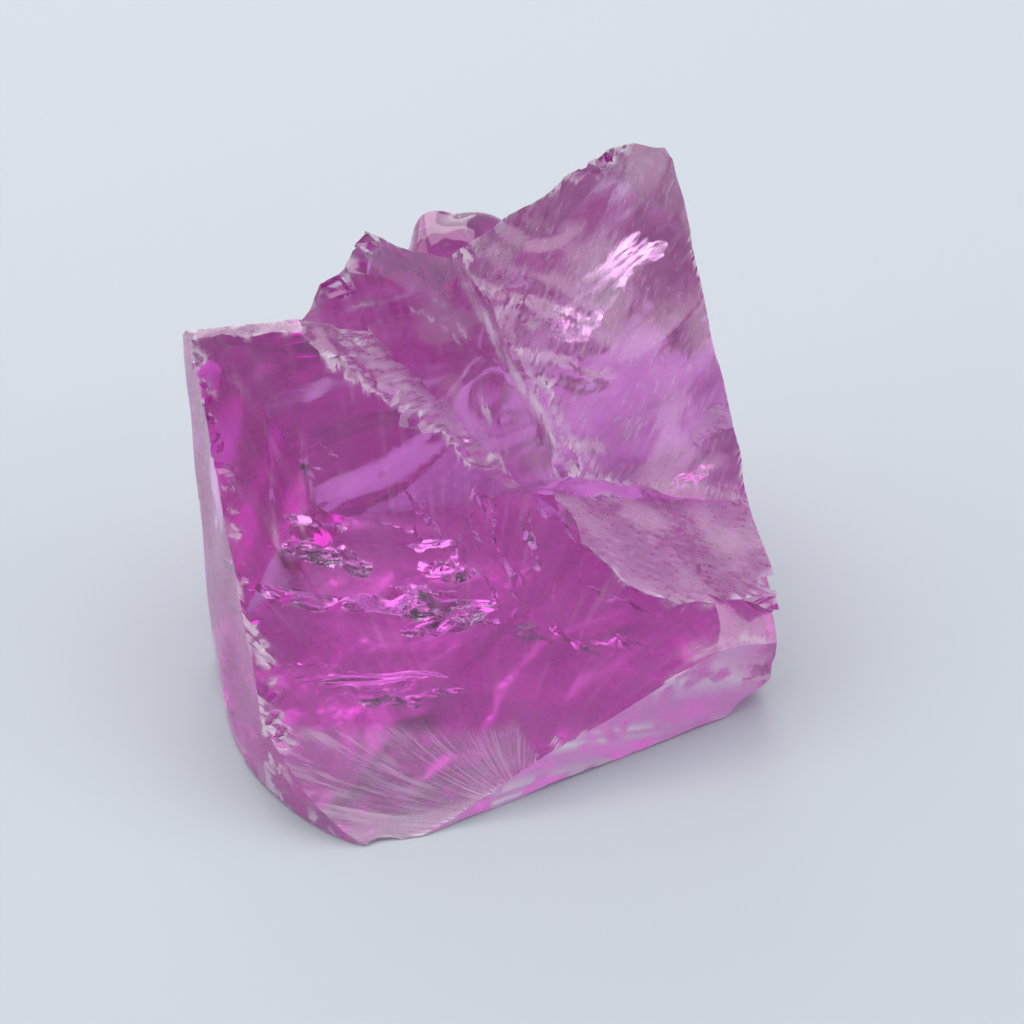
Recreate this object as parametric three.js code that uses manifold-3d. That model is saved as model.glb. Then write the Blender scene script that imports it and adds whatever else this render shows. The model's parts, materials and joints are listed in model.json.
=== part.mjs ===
// A rough zircon: one broken piece of a clear pink crystal, 32 mm wide, lying on a flat cleaved face.
// Millimetres, +Z up, origin near the middle of the resting face, blunt nose towards -Y.

import * as THREE from 'three';
import { mergeVertices } from 'three/addons/utils/BufferGeometryUtils.js';
import Module from 'manifold-3d';

const wasm = await Module();
wasm.setup();

// ---- Driving dimensions -------------------------------------------------------------------------

// Growth faces: the stone keeps four sides of the square prism it grew as, turned 19 degrees.
const PRISM_TURN = 19;
const RIGHT_SIDE = 12.5;      // distance of each side from the origin, along its own direction
const BACK_SIDE = 14.6;
const LEFT_SIDE = 15.3;
const LEFT_LEAN = 3;          // the left side leans in by this many degrees
const NOSE_TURN = -61.5;      // direction of the low side at the front right
const NOSE_SIDE = 9.2;
const NOSE_CURVE = [          // the worn front left corner, seen from above
  [-16.4, 0.4], [-15.2, -5], [-13.7, -8.5], [-11.3, -11.4], [-9.3, -12.9], [-7.1, -13.7], [-4.5, -12.9],
];
const RAW_HEIGHT = 27;        // height of the prism that the broken faces are cut from
const RAW_MARGIN = 1;         // the prism stands this far outside the growth faces
const RAW_MARGIN_LEFT = 1.2;  // a little more on the left, where the side leans

// Mesh fineness
const BREAK_CELL = 1.25;      // grid of a broken face
const GROWTH_CELL = 1.9;      // grid of a growth face
const SLAB_REACH = 32;        // half width of a cutting slab
const SLAB_DEPTH = 45;

// Broken faces: a point on each, the compass heading it looks to and its tilt above the horizon.
const FRONT_BREAK = { at: [-4, -5, 7.5], heading: -78.5, tilt: 47.5 };
const UPPER_BREAK = { at: [6, 5, 16.9], heading: -66, tilt: 43 };
const LEDGE = { at: [-6, 5, 15.2], heading: 0, tilt: 59 };
const RISER = { at: [-2, 5, 17.6], heading: -124, tilt: 14.5 };
const RIDGE_BEVEL = { at: [-0.1, 4.1, 18.4], heading: -98, tilt: 32 };
const LOWER_RISER = { at: [8.5, 0.8, 11.6], heading: -90, tilt: -21 };
const BENCH_PROUD = 0.35;     // the frosted bench stands this far out of the front break
const BENCH_STEP = { at: [8.9, -0.9, 8.7], heading: -106, tilt: -27 };
const LEFT_SLOPE = { at: [-13, 6.3, 19], heading: 101, tilt: 37.5 };
const TOP_BEVEL = { at: [-14, 5.6, 18.6], heading: -70, tilt: 78 };
const PEAK_LEFT = { at: [-8.5, 10.6, 20.2], heading: 139, tilt: 28.5 };
const PEAK_RIGHT = { at: [-5.6, 8.8, 21.9], heading: 59, tilt: 36 };
const CREST_SLOPE = { at: [2.7, 11.4, 24.4], heading: 134.5, tilt: 31.5 };
const CREST_END = { at: [7.5, 13.8, 24.9], heading: 103.5, tilt: 39.5 };
const CORNER_BEVEL = { at: [11, -3.6, 6], heading: -47, tilt: 43.5 };
const CORNER_TOP = { at: [11, -2.7, 7.5], heading: -100, tilt: -35 };
const FOOT_CORNER = { at: [13.7, -2.9, 1.4], heading: -22, tilt: -50 };
const LUMP_CENTRE = [-2.7, 12.8, 15.1];
const LUMP_SIZE = [4.3, 3.6, 6.5];
const LUMP_LEAN = -8;
const LEFT_UNDERCUT = { at: [-16.3, 0.4, 0], heading: 156, tilt: -11.5 };
const BACK_BREAK = { at: [-13, 12.5, 8], heading: 128, tilt: 12 };
const BACK_FOOT_BREAK = { at: [3, 15.4, 4.5], heading: 98, tilt: -20 };
const BACK_EDGE_BREAK = { at: [8.6, 15.4, 12], heading: 58, tilt: 6 };

// Chips: shell-shaped ones are dishes, the small ones along the edges are few-sided bites.
const DISH_RINGS = 4;
const DISH_RIPPLE = 0.12;     // height of the ripple in a dish, as a share of its depth
const DISH_FLARE = 1.2;       // how far the dish opens out above the surface, as a share of its radius
const DISH_CLEAR = 1.5;       // how high it opens, as a share of its depth
const BITE_SCATTER = 15;      // degrees by which the bites along an edge differ

// ---- Small helpers ------------------------------------------------------------------------------

const UP = new THREE.Vector3(0, 0, 1);

// Direction of a compass heading (0 is +X, 90 is +Y) and a tilt above the horizon, in degrees.
function direction(heading, tilt = 0) {
  const h = THREE.MathUtils.degToRad(heading);
  const t = THREE.MathUtils.degToRad(tilt);
  return new THREE.Vector3(Math.cos(t) * Math.cos(h), Math.cos(t) * Math.sin(h), Math.sin(t));
}

// Repeatable scatter between -1 and 1.
function scatter(k) {
  const value = Math.sin(k * 12.9898) * 43758.5453;
  return 2 * (value - Math.floor(value)) - 1;
}

// A closed three.js geometry as a solid that can be joined and cut.
function solid(geometry) {
  geometry.deleteAttribute('normal');
  geometry.deleteAttribute('uv');
  const merged = mergeVertices(geometry);
  const corners = merged.index.array;
  const triVerts = [];
  for (let k = 0; k < corners.length; k += 3) {
    const [a, b, c] = [corners[k], corners[k + 1], corners[k + 2]];
    if (a !== b && b !== c && c !== a) {
      triVerts.push(a, b, c);
    }
  }
  return new wasm.Manifold(new wasm.Mesh({
    numProp: 3,
    vertProperties: new Float32Array(merged.attributes.position.array),
    triVerts: new Uint32Array(triVerts),
  }));
}

// ---- Relief of the faces: height in mm over the face's own u (level) and v (uphill) -------------

// Broad unevenness made of a few crossed waves.
function swell(height, length, seed) {
  return (u, v) => {
    let sum = 0;
    for (let k = 0; k < 4; k += 1) {
      const angle = 1.7 * seed + 2.4 * k;
      const wave = (2 * Math.PI) / (length * (1 - 0.16 * k));
      sum += Math.sin((u * Math.cos(angle) + v * Math.sin(angle)) * wave + seed * (k + 1));
    }
    return (height * sum) / 4;
  };
}

// Shell-like ripples round the place where the blow fell: rounded hollows that meet in low crests.
function ripples(height, pitch, centre) {
  return (u, v) => {
    const turn = Math.hypot(u - centre[0], v - centre[1]) / pitch;
    const phase = turn - Math.floor(turn) - 0.5;
    return height * (4 * phase * phase - 0.4);
  };
}

// One wide hollow, or a swelling where the depth is negative.
function hollow(depth, radius, centre) {
  return (u, v) => {
    const r = Math.hypot(u - centre[0], v - centre[1]) / radius;
    return -depth * Math.exp(-r * r);
  };
}

// A face that bends away beyond a given place along its level direction.
function fallAway(start, slope) {
  return (u) => -slope * Math.max(0, start - u);
}

// Growth steps: flat treads of uneven height with short ramps between, across the given angle.
function steps(height, pitch, angle) {
  const a = THREE.MathUtils.degToRad(angle);
  return (u, v) => {
    const s = (u * Math.cos(a) + v * Math.sin(a)) / pitch;
    const tread = Math.floor(s);
    const ramp = Math.max(0, (s - tread - 0.6) / 0.4);
    return height * (scatter(tread) * (1 - ramp) + scatter(tread + 1) * ramp);
  };
}

function together(...reliefs) {
  return (u, v) => reliefs.reduce((sum, relief) => sum + relief(u, v), 0);
}

// ---- Cutting bodies -----------------------------------------------------------------------------

// Everything beyond a face: a deep slab whose near side has the relief of the face.
function beyond({ at, heading, tilt }, relief = () => 0, cell = BREAK_CELL, reach = SLAB_REACH) {
  const cells = Math.max(1, Math.round((2 * reach) / cell));
  const slab = new THREE.BoxGeometry(2 * reach, 2 * reach, SLAB_DEPTH, cells, cells, 1);
  slab.translate(0, 0, SLAB_DEPTH / 2);
  const place = slab.attributes.position;
  for (let k = 0; k < place.count; k += 1) {
    if (place.getZ(k) < SLAB_DEPTH / 2) {
      place.setZ(k, relief(place.getX(k), place.getY(k)));
    }
  }
  const facing = direction(heading, tilt);
  const level = new THREE.Vector3().crossVectors(UP, facing).normalize();
  const uphill = new THREE.Vector3().crossVectors(facing, level);
  slab.applyMatrix4(new THREE.Matrix4().makeBasis(level, uphill, facing).setPosition(...at));
  return solid(slab);
}

// A growth face, given by its distance from the origin.
function beyondSide(distance, heading, tilt, relief) {
  const at = direction(heading, tilt).multiplyScalar(distance).toArray();
  return beyond({ at, heading, tilt }, relief, GROWTH_CELL);
}

// A shell-shaped chip: a shallow dish with ripples, its open side raised clear of the surface.
function chip({ at, heading, tilt, radius, depth, stretch = 1, turn = 0, sides = 16 }) {
  const profile = [];
  for (let k = 0; k <= DISH_RINGS; k += 1) {
    const r = k / DISH_RINGS;
    profile.push(new THREE.Vector2(radius * r, depth * (r * r - 1 + DISH_RIPPLE * (k % 2))));
  }
  profile.push(new THREE.Vector2(radius * DISH_FLARE, depth * DISH_CLEAR));
  profile.push(new THREE.Vector2(0, depth * DISH_CLEAR));
  const dish = new THREE.LatheGeometry(profile, sides);
  dish.rotateX(Math.PI / 2);
  dish.scale(stretch, 1, 1);
  dish.rotateZ(THREE.MathUtils.degToRad(turn));
  const facing = direction(heading, tilt);
  const level = new THREE.Vector3().crossVectors(UP, facing).normalize();
  const uphill = new THREE.Vector3().crossVectors(facing, level);
  dish.applyMatrix4(new THREE.Matrix4().makeBasis(level, uphill, facing).setPosition(...at));
  return solid(dish);
}

// A run of small chips along an edge, each a little different: few-sided bites into the edge.
function edgeChips({ from, to, count, heading, tilt, radius, depth, seed }) {
  const start = new THREE.Vector3(...from);
  const end = new THREE.Vector3(...to);
  const chips = [];
  for (let k = 0; k < count; k += 1) {
    const share = (k + 0.5 + 0.4 * scatter(seed + k)) / count;
    const size = radius * (1 + 0.45 * scatter(seed + 3.3 * k + 1));
    const out = direction(
      heading + BITE_SCATTER * scatter(seed + 5.1 * k),
      tilt + BITE_SCATTER * scatter(seed + 7.7 * k),
    );
    const bite = new THREE.IcosahedronGeometry(size, 1);
    bite.scale(1.5 + 0.5 * scatter(seed + 2.2 * k), 1, 0.8);
    bite.rotateZ(Math.PI * scatter(seed + 9.4 * k));
    bite.lookAt(out);
    const sink = 0.8 * size - depth * (1 + 0.4 * scatter(seed + 6.6 * k));
    const centre = new THREE.Vector3().lerpVectors(start, end, share).addScaledVector(out, sink);
    bite.translate(...centre.toArray());
    chips.push(solid(bite));
  }
  return chips;
}

function cutAll(body, tools) {
  return tools.reduce((rest, tool) => rest.subtract(tool), body);
}

// ---- The stone ----------------------------------------------------------------------------------

// Where two upright sides meet, each given by its heading and distance.
function corner([headingA, distanceA], [headingB, distanceB]) {
  const a = direction(headingA);
  const b = direction(headingB);
  const det = a.x * b.y - a.y * b.x;
  return new THREE.Vector2(
    (distanceA * b.y - distanceB * a.y) / det,
    (distanceB * a.x - distanceA * b.x) / det,
  );
}

// The prism before breaking: four upright sides, the front left corner worn into a long curve.
function rawPrism() {
  const right = [PRISM_TURN, RIGHT_SIDE + RAW_MARGIN];
  const back = [PRISM_TURN + 90, BACK_SIDE + RAW_MARGIN];
  const left = [PRISM_TURN + 180, LEFT_SIDE + RAW_MARGIN_LEFT];
  const nose = [NOSE_TURN, NOSE_SIDE];
  const outline = new THREE.Shape();
  outline.moveTo(-4.5, -12.9);
  outline.lineTo(...corner(nose, right).toArray());
  outline.lineTo(...corner(right, back).toArray());
  outline.lineTo(...corner(back, left).toArray());
  outline.lineTo(-16.7, 1.5);
  outline.splineThru(NOSE_CURVE.map(([x, y]) => new THREE.Vector2(x, y)));
  return solid(new THREE.ExtrudeGeometry(outline, {
    depth: RAW_HEIGHT,
    bevelEnabled: false,
    curveSegments: 3,
  }));
}

// The front left block: the big clear break, and the ledge and riser that bound the groove above it.
function frontBlock(prism, riser) {
  const frontRelief = together(hollow(0.6, 8, [-1, 3]), swell(0.22, 14, 2));
  const ledge = beyond(LEDGE, together(swell(0.25, 5, 4), ripples(0.14, 2.3, [9, 14])));
  const groove = ledge.intersect(riser);
  const slope = beyond(LEFT_SLOPE, together(hollow(1.5, 6, [-3, -9]), ripples(0.22, 3.4, [4, 12])));
  const clear = cutAll(prism, [beyond(FRONT_BREAK, frontRelief)]);
  const out = direction(FRONT_BREAK.heading, FRONT_BREAK.tilt).multiplyScalar(BENCH_PROUD);
  const benchFace = { ...FRONT_BREAK, at: out.add(new THREE.Vector3(...FRONT_BREAK.at)).toArray() };
  const bench = cutAll(prism, [
    beyond(benchFace, together(frontRelief, swell(0.25, 5, 9))),
    beyond(BENCH_STEP, together(hollow(-2.6, 5, [-0.5, 0]), fallAway(-6, 1.6), swell(0.15, 3, 3))),
  ]);
  const topBevel = beyond(TOP_BEVEL, swell(0.12, 4, 2));
  return cutAll(clear.add(bench), [groove, slope, topBevel]);
}

// The back right block: its crest and the lower peak beside it, behind the riser of the groove.
function backBlock(prism, riser) {
  const crest = cutAll(prism, [
    beyond(CREST_SLOPE, together(hollow(1.2, 5, [2, -8]), ripples(0.16, 2.9, [8, 3]))),
    beyond(CREST_END, swell(0.2, 6, 3)),
  ]);
  const peak = cutAll(prism, [
    beyond(PEAK_LEFT, together(swell(0.3, 5, 5), ripples(0.22, 2.6, [-6, 5]))),
    beyond(PEAK_RIGHT, swell(0.3, 6, 6)),
  ]);
  const upperBreak = beyond(UPPER_BREAK, together(
    swell(0.35, 11, 1),
    ripples(0.14, 3.6, [-3, 14]),
  ));
  const ridgeBevel = beyond(RIDGE_BEVEL, swell(0.2, 3, 2));
  const lowerRiser = beyond(LOWER_RISER, swell(0.25, 4, 7));
  return cutAll(crest.add(peak), [upperBreak, riser, ridgeBevel, lowerRiser]);
}

// The rounded lump that stands up behind the saddle between the peak and the crest.
function backLump() {
  const lump = new THREE.IcosahedronGeometry(1, 4);
  const place = lump.attributes.position;
  const uneven = swell(0.16, 1.6, 3);
  for (let k = 0; k < place.count; k += 1) {
    const [x, y, z] = [place.getX(k), place.getY(k), place.getZ(k)];
    const grow = 1 + uneven(x + 0.6 * z, y - 0.4 * z);
    place.setXYZ(k, x * grow, y * grow, z * grow);
  }
  lump.scale(...LUMP_SIZE);
  lump.rotateY(THREE.MathUtils.degToRad(LUMP_LEAN));
  lump.translate(...LUMP_CENTRE);
  return solid(lump);
}

// Shell-shaped chips along the edges and one wide one low on the front.
function chips() {
  return [
    chip({
      ...FRONT_BREAK, at: [-4.8, -10.9, 2.3], radius: 3.6, depth: 0.7, stretch: 1.9, turn: 4, sides: 28,
    }),
    chip({
      at: [11.6, 5.5, 0.4], heading: PRISM_TURN, tilt: -48, radius: 3.6, depth: 0.8, stretch: 1.4,
    }),
    chip({ at: [-13, 7.5, 0.5], heading: 150, tilt: -50, radius: 3.8, depth: 0.9, stretch: 1.3 }),
    ...edgeChips({
      from: [-16.6, 5, 18.4], to: [-11.4, -10.8, 3.6], count: 13,
      heading: -125, tilt: 30, radius: 0.85, depth: 0.28, seed: 1,
    }),
    ...edgeChips({
      from: [-9.4, 5, 17.2], to: [-1.8, 1.9, 13], count: 7,
      heading: -50, tilt: 72, radius: 0.75, depth: 0.22, seed: 2,
    }),
    ...edgeChips({
      from: [-9.8, 10.2, 17.4], to: [-7.2, 9.9, 21.6], count: 4,
      heading: -170, tilt: 35, radius: 0.8, depth: 0.3, seed: 3,
    }),
    ...edgeChips({
      from: [3.4, 11.4, 24.2], to: [6.2, 13.4, 25], count: 4,
      heading: 180, tilt: 70, radius: 0.7, depth: 0.25, seed: 4,
    }),
    ...edgeChips({
      from: [1, -9.8, 2.4], to: [9.3, -5.4, 5.6], count: 6,
      heading: -68, tilt: 24, radius: 0.7, depth: 0.2, seed: 5,
    }),
    ...edgeChips({
      from: [13.6, -0.9, 8], to: [13.9, -1.9, 7], count: 1,
      heading: -10, tilt: 25, radius: 1, depth: 0.4, seed: 6,
    }),
  ];
}

function stone() {
  const prism = rawPrism();
  const riser = beyond(RISER, together(hollow(0.8, 4.5, [-1, -1]), swell(0.3, 7, 8)));
  const body = frontBlock(prism, riser).add(backBlock(prism, riser)).add(backLump());
  return cutAll(body, [
    beyondSide(LEFT_SIDE, PRISM_TURN + 180, LEFT_LEAN, together(hollow(-0.9, 7, [0, -3]), swell(0.08, 9, 1))),
    beyondSide(RIGHT_SIDE, PRISM_TURN, 0, together(steps(0.12, 4, 78), swell(0.05, 9, 4))),
    beyondSide(BACK_SIDE, PRISM_TURN + 90, 2, together(steps(0.3, 3.4, 84), swell(0.2, 12, 6))),
    beyond(CORNER_BEVEL, swell(0.12, 4, 2)).intersect(beyond(CORNER_TOP, swell(0.3, 3, 4))),
    beyond(FOOT_CORNER, swell(0.2, 4, 5)),
    beyond(LEFT_UNDERCUT, swell(0.3, 8, 2)),
    beyond(BACK_BREAK, together(hollow(1.2, 8, [1, 2]), ripples(0.3, 3.3, [-9, -6]))),
    beyond(BACK_FOOT_BREAK, together(hollow(0.9, 7, [-1, -1]), ripples(0.28, 2.7, [-9, -12]))),
    beyond(BACK_EDGE_BREAK, together(ripples(0.3, 3.1, [3, -14]), swell(0.2, 7, 3))),
    ...chips(),
  ]);
}

// ---- Scene graph --------------------------------------------------------------------------------

function toGeometry(body) {
  const mesh = body.getMesh();
  const geometry = new THREE.BufferGeometry();
  geometry.setAttribute('position', new THREE.BufferAttribute(mesh.vertProperties, 3));
  geometry.setIndex(new THREE.BufferAttribute(mesh.triVerts, 1));
  geometry.computeVertexNormals();
  return geometry;
}

const clearPink = new THREE.MeshStandardMaterial({
  color: '#a04b9b',
  roughness: 0.15,
  metalness: 0,
  flatShading: true,
});

const zircon = new THREE.Mesh(toGeometry(stone()), clearPink);
zircon.name = 'zircon';

const group = new THREE.Group();
group.add(zircon);

export default group;
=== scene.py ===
"""Rough zircon: one broken piece of a clear pink crystal, lying on a pale floor.

The crystal is cut here from the same faces as the solid, with finer relief, and has its inner flaws.
Millimetres until the mesh is finished, then metres, +Z up, blunt nose towards -Y.
"""

import json
import math

import bmesh
import bpy
import numpy as np
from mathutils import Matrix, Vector, kdtree
from mathutils.bvhtree import BVHTree

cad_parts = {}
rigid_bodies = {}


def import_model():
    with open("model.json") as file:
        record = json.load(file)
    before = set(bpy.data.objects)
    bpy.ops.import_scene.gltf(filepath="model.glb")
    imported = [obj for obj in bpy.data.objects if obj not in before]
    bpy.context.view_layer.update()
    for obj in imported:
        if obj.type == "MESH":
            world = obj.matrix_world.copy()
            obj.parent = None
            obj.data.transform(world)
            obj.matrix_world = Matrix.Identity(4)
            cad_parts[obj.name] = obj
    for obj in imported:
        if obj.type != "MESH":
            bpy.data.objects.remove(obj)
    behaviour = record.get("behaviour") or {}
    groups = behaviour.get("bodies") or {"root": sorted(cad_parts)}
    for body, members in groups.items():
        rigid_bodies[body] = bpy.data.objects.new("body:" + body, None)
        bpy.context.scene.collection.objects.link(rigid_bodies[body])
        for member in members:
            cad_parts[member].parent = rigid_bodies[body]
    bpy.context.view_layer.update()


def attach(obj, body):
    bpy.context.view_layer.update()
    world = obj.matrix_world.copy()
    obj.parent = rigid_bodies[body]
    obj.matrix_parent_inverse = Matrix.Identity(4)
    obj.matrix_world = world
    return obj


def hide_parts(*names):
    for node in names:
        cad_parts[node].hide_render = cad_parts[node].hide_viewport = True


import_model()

MM = 0.001

# ---- Driving dimensions, as in the solid ---------------------------------------------------------

PRISM_TURN = 19
RIGHT_SIDE = 12.5
BACK_SIDE = 14.6
LEFT_SIDE = 15.3
LEFT_LEAN = 3
BACK_LEAN = 2
NOSE_TURN = -61.5
NOSE_SIDE = 9.2
NOSE_CURVE = [
    (-16.4, 0.4), (-15.2, -5), (-13.7, -8.5), (-11.3, -11.4), (-9.3, -12.9), (-7.1, -13.7), (-4.5, -12.9),
]
RAW_HEIGHT = 27
RAW_MARGIN = 1
RAW_MARGIN_LEFT = 1.2
FRONT_AT, FRONT_HEADING, FRONT_TILT = (-4, -5, 7.5), -78.5, 47.5
BENCH_PROUD = 0.35
LUMP_CENTRE = (-2.7, 12.8, 15.1)
LUMP_SIZE = (4.3, 3.6, 6.5)
LUMP_LEAN = -8
DISH_FLARE = 1.2
DISH_CLEAR = 1.5
BITE_SCATTER = 15

# Fineness of the mesh, and the reach of the cutting slabs
FINE_CELL = 0.25
COARSE_CELL = 4.0
SLAB_REACH = 32
SLAB_DEPTH = 45
HALF_SPAN = 19  # a face is finely meshed this far each way from the stone's middle, and coarsely beyond

# The cracks inside, and the bites along the edges
CRACK_COVER = 0.12  # stone left over the points of a crack that are tested, which are every second one
CRACK_SHRINK = 0.88  # a crack too near the surface is drawn in by this, again and again
CRACK_TRIES = 12
BITE_TURN = 60


# ---- Relief of the faces: height in mm over the face's own u (level) and v (uphill) --------------


def scatter(k):
    """Repeatable scatter between -1 and 1."""
    value = np.sin(np.asarray(k, float) * 12.9898) * 43758.5453
    return 2 * (value - np.floor(value)) - 1


def swell(height, length, seed):
    """Broad unevenness made of a few crossed waves."""

    def relief(u, v):
        total = 0
        for k in range(4):
            angle = 1.7 * seed + 2.4 * k
            wave = 2 * math.pi / (length * (1 - 0.16 * k))
            total = total + np.sin((u * math.cos(angle) + v * math.sin(angle)) * wave + seed * (k + 1))
        return height * total / 4

    return relief


def ripples(height, pitch, centre):
    """Shell-like ripples round the place where the blow fell."""

    def relief(u, v):
        turn = np.hypot(u - centre[0], v - centre[1]) / pitch
        phase = turn - np.floor(turn) - 0.5
        return height * (4 * phase * phase - 0.4)

    return relief


def hollow(depth, radius, centre):
    """One wide hollow, or a swelling where the depth is negative."""

    def relief(u, v):
        r = np.hypot(u - centre[0], v - centre[1]) / radius
        return -depth * np.exp(-r * r)

    return relief


def dished(depth, radius, centre, stretch, turn):
    """A shallow rippled dish, where a shell-shaped chip came away."""
    a = math.radians(turn)

    def relief(u, v):
        du, dv = u - centre[0], v - centre[1]
        along, across = du * math.cos(a) + dv * math.sin(a), dv * math.cos(a) - du * math.sin(a)
        r = np.minimum(np.hypot(along / stretch, across) / radius, 1)
        return depth * (r * r - 1 + 0.06 * (1 - np.cos(4 * math.pi * r)))

    return relief


def fall_away(start, slope):
    """A face that bends away beyond a given place along its level direction."""
    return lambda u, v: -slope * np.maximum(0, start - u)


def steps(height, pitch, angle):
    """Growth steps: flat treads of uneven height with short ramps between."""
    a = math.radians(angle)

    def relief(u, v):
        s = (u * math.cos(a) + v * math.sin(a)) / pitch
        tread = np.floor(s)
        ramp = np.maximum(0, (s - tread - 0.6) / 0.4)
        return height * (scatter(tread) * (1 - ramp) + scatter(tread + 1) * ramp)

    return relief


def grain(u, v, size, seed):
    """Smooth random values between -1 and 1, a new one about every size."""
    x, y = np.asarray(u) / size + 31.7 * seed, np.asarray(v) / size - 17.3 * seed
    i, j = np.floor(x), np.floor(y)
    a, b = x - i, y - j
    a, b = a * a * (3 - 2 * a), b * b * (3 - 2 * b)
    low = scatter(i + 57.1 * j) * (1 - a) + scatter(i + 1 + 57.1 * j) * a
    high = scatter(i + 57.1 * (j + 1)) * (1 - a) + scatter(i + 1 + 57.1 * (j + 1)) * a
    return low * (1 - b) + high * b


def broken(height, size, seed, stretch=1.0, angle=0.0):
    """Irregular roughness in three sizes, drawn out along an angle where stretch is over one."""
    a = math.radians(angle)

    def relief(u, v):
        along, across = u * math.cos(a) + v * math.sin(a), v * math.cos(a) - u * math.sin(a)
        along = along / stretch
        return height * (
            0.6 * grain(along, across, size, seed)
            + 0.28 * grain(along, across, 0.45 * size, seed + 1)
            + 0.12 * grain(along, across, 0.2 * size, seed + 2)
        )

    return relief


def fan(height, centre, count, seed):
    """Fine ridges that spread from a point, each a thin raised line."""

    def relief(u, v):
        du, dv = u - centre[0], v - centre[1]
        r = np.hypot(du, dv)
        turn = np.arctan2(dv, du) + 0.05 * grain(u, v, 2.5, seed) + 0.1 * np.log(1 + r)
        s = turn * count / (2 * math.pi)
        line = np.abs(s - np.floor(s) - 0.5) * 2
        uneven = 0.6 + 0.6 * grain(np.floor(s) * 3.1, r, 3.0, seed + 4)
        return height * uneven * (1 - line) ** 3

    return relief


def facets(height, size, slope, seed):
    """Splinters: flat-sided points of uneven height that meet in sharp creases."""

    def relief(u, v):
        i, j = np.floor(u / size), np.floor(v / size)
        best = np.full(np.shape(u), -1e9)
        for di in (-1, 0, 1):
            for dj in (-1, 0, 1):
                cell = (i + di) * 12.7 + (j + dj) * 71.3 + seed
                du = u - (i + di + 0.5 + 0.45 * scatter(cell)) * size
                dv = v - (j + dj + 0.5 + 0.45 * scatter(cell + 0.31)) * size
                a = math.pi * scatter(cell + 0.57)
                x, y = du * np.cos(a) + dv * np.sin(a), dv * np.cos(a) - du * np.sin(a)
                steep = slope * (1 + 0.6 * scatter(cell + 0.83))
                fall = steep * np.maximum(np.maximum(x, -0.6 * x), np.abs(y) * 0.8)
                best = np.maximum(best, height * scatter(cell + 0.17) - fall)
        return best + height * 0.5

    return relief


def terraces(height, pitch, angle, seed):
    """Low steps whose edges wander, as where a crack changes level."""
    a = math.radians(angle)

    def relief(u, v):
        s = (u * math.cos(a) + v * math.sin(a)) / pitch
        s = s + 0.9 * grain(u, v, 3.5 * pitch, seed) + 0.25 * grain(u, v, pitch, seed + 1)
        tread = np.floor(s)
        rise = np.clip((s - tread - 0.8) / 0.2, 0, 1)
        return height * (scatter(tread) * (1 - rise) + scatter(tread + 1) * rise)

    return relief


def only(mask, relief):
    """A relief where the mask is one, fading to nothing where it is zero."""
    return lambda u, v: mask(u, v) * relief(u, v)


def under_line(line, fade=0.4):
    """A mask of what lies downhill of a line of u, v points."""
    across, up = np.array(line, float).T
    return lambda u, v: np.clip(0.5 + (np.interp(u, across, up) - v) / fade, 0, 1)


def spot(centre, size, fade=0.35, seed=0):
    """A mask of one ragged oval."""

    def mask(u, v):
        r = np.hypot((u - centre[0]) / size[0], (v - centre[1]) / size[1])
        r = r + 0.18 * grain(u, v, 0.5 * min(size), seed)
        return np.clip((1 - r) / fade + 0.5, 0, 1)

    return mask


def streaks(angle, stretch):
    """Coordinates that draw a fine pattern out along an angle."""
    a = math.radians(angle)
    return lambda u, v: ((u * math.cos(a) + v * math.sin(a)) / stretch, v * math.cos(a) - u * math.sin(a))


def finer(times, lines):
    """The same coordinates with a pattern that many times smaller."""
    return lambda u, v: tuple(times * c for c in lines(u, v))


def spreading(centre, width, stretch):
    """Coordinates that draw a fine pattern out away from a point, width of it to each radian."""

    def lines(u, v):
        du, dv = u - centre[0], v - centre[1]
        r = np.hypot(du, dv)
        return r / stretch, (np.arctan2(dv, du) + 0.25 * np.log(1 + r)) * width

    return lines


def together(*reliefs):
    return lambda u, v: sum(relief(u, v) for relief in reliefs)


def even(value=0.0):
    return lambda u, v: value + 0 * u


# ---- Meshes --------------------------------------------------------------------------------------


def direction(heading, tilt=0.0):
    """Compass heading (0 is +X, 90 is +Y) and tilt above the horizon, in degrees."""
    h, t = math.radians(heading), math.radians(tilt)
    return np.array([math.cos(t) * math.cos(h), math.cos(t) * math.sin(h), math.sin(t)])


def body_of(name, places, faces):
    """A mesh object from points and faces, in millimetres."""
    mesh = bpy.data.meshes.new(name)
    mesh.from_pydata([tuple(p) for p in np.asarray(places, float)], [], faces)
    obj = bpy.data.objects.new(name, mesh)
    bpy.context.scene.collection.objects.link(obj)
    return obj


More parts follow.
